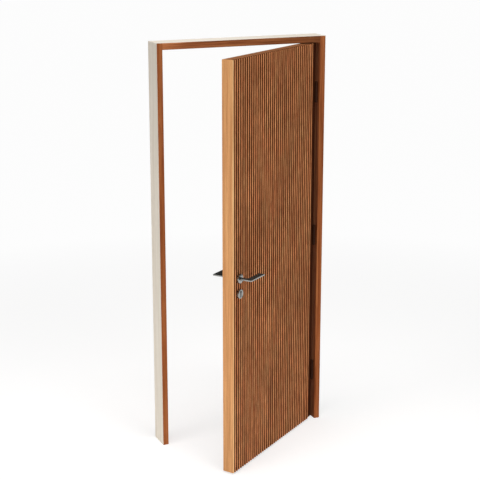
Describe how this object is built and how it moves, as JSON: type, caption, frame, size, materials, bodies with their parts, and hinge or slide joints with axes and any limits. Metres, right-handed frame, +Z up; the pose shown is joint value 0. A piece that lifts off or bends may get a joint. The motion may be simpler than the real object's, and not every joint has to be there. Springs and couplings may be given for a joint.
{
  "type": "wooden door with slatted face in jamb frame",
  "caption": "Hinged wooden door, one face clad in upright slats, ajar in a slim flush jamb frame, with flat lever handles and round keyhole roses.",
  "frame": {"origin": "on the wall-side face of the hinge jamb, at the middle of its depth, at floor level", "axes": "+X out of the hinge jamb into the wall, -Y towards the side the leaf opens to, +Z up"},
  "size_m": [0.91, 0.6311, 2.08],
  "materials": {
    "frame_wood": "satin oil",
    "leaf_wood": "satin oil",
    "edge_wood": "satin oil",
    "core_board": "raw board",
    "seal": "matt",
    "hinge_metal": "dark bronze",
    "handle_metal": "satin",
    "lock_metal": "satin"
  },
  "bodies": {
    "frame": {"jamb_hinge_side": "frame_wood", "jamb_lock_side": "frame_wood", "frame_head": "frame_wood", "stop_hinge_side": "frame_wood", "stop_lock_side": "frame_wood", "stop_head": "frame_wood", "seal_hinge_side": "seal", "seal_lock_side": "seal", "seal_head": "seal", "hinge_bottom_jamb_plate": "hinge_metal", "hinge_bottom_pin": "hinge_metal", "hinge_middle_jamb_plate": "hinge_metal", "hinge_middle_pin": "hinge_metal", "hinge_top_jamb_plate": "hinge_metal", "hinge_top_pin": "hinge_metal"},
    "leaf": {"door_core": "core_board", "slatted_front": "leaf_wood", "back_panel": "leaf_wood", "lock_edge": "edge_wood", "hinge_edge": "edge_wood", "top_edge": "edge_wood", "bottom_edge": "edge_wood", "rose_front": "handle_metal", "rose_back": "handle_metal", "keyhole_rose_front": "handle_metal", "keyhole_rose_back": "handle_metal", "lock_cylinder": "lock_metal", "hinge_bottom_door_plate": "hinge_metal", "hinge_middle_door_plate": "hinge_metal", "hinge_top_door_plate": "hinge_metal"},
    "handle": {"lever_front": "handle_metal", "lever_back": "handle_metal", "spindle": "lock_metal"}
  },
  "joints": [
    {"name": "door_swing", "type": "hinge", "parent": "frame", "child": "leaf", "pos_m": [-0.038, -0.04, 0], "axis": [0, 0, 1], "range_deg": [-36, 74]},
    {"name": "lever_turn", "type": "hinge", "parent": "leaf", "child": "handle", "pos_m": [-0.6747, -0.50259, 1], "axis": [-0.5878, 0.809, 0], "range_deg": [0, 40], "stiffness_Nm_per_rad": 1.2, "springref_deg": -28.65}
  ]
}
